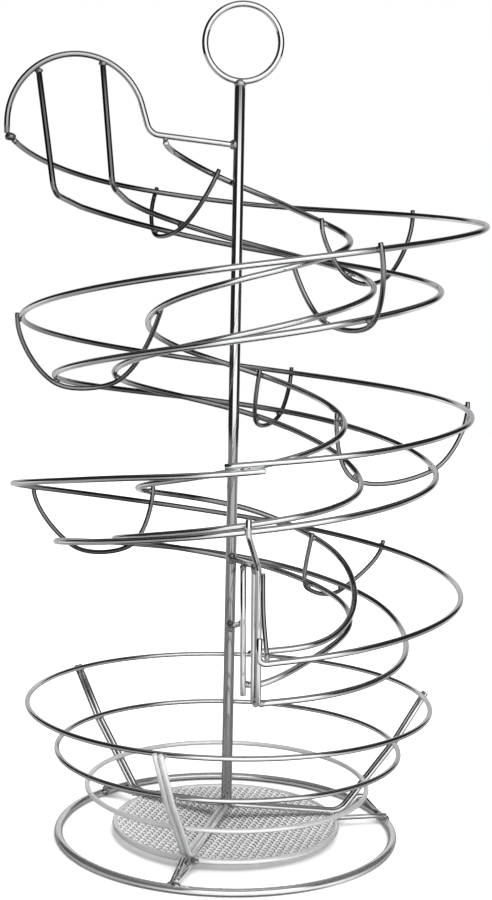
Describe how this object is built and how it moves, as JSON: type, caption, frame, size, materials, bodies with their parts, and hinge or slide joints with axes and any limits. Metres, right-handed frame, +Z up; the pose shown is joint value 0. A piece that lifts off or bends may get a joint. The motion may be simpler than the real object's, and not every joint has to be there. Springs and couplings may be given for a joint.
{
  "type": "rolling egg dispenser",
  "caption": "Free-standing spiral wire rack that rolls eggs down a channel of chromed rails, past a stop frame, into a round basket with a mesh floor.",
  "frame": {"origin": "on the surface that the rack stands on, under the axis of the spiral channel, which is the middle of the overall box", "axes": "+Z up along the post, -Y towards the front, where the channel ends; the backstop is on the -X side"},
  "size_m": [0.2389, 0.2277, 0.4189],
  "materials": {
    "chrome_wire": "bright plated round wire, welded",
    "steel_mesh": "fine woven wire mesh"
  },
  "bodies": {
    "root": {"backstop_arch": "chrome_wire", "base_ring": "chrome_wire", "basket_lower_ring": "chrome_wire", "basket_middle_ring": "chrome_wire", "basket_rim": "chrome_wire", "central_post": "chrome_wire", "cradle_1": "chrome_wire", "cradle_2": "chrome_wire", "cradle_3": "chrome_wire", "cradle_4": "chrome_wire", "cradle_5": "chrome_wire", "cradle_6": "chrome_wire", "cradle_7": "chrome_wire", "cradle_8": "chrome_wire", "foot_bar_front": "chrome_wire", "foot_bar_rear": "chrome_wire", "foot_bar_right": "chrome_wire", "inner_floor_rail": "chrome_wire", "inner_rail": "chrome_wire", "leg_front": "chrome_wire", "leg_rear": "chrome_wire", "leg_right": "chrome_wire", "mesh_tray": "steel_mesh", "outer_floor_rail": "chrome_wire", "outer_rail_lower": "chrome_wire", "outer_rail_upper": "chrome_wire", "rib_front_a": "chrome_wire", "rib_front_b": "chrome_wire", "rib_rear_a": "chrome_wire", "rib_rear_b": "chrome_wire", "rib_right_a": "chrome_wire", "rib_right_b": "chrome_wire", "ring_handle": "chrome_wire", "stop_arm": "chrome_wire", "stop_brace": "chrome_wire", "stop_end_wire": "chrome_wire", "stop_inner_upright": "chrome_wire", "stop_outer_upright": "chrome_wire", "tie_lower": "chrome_wire", "tie_middle": "chrome_wire", "tie_upper": "chrome_wire", "tray_rim": "chrome_wire"}
  },
  "joints": []
}
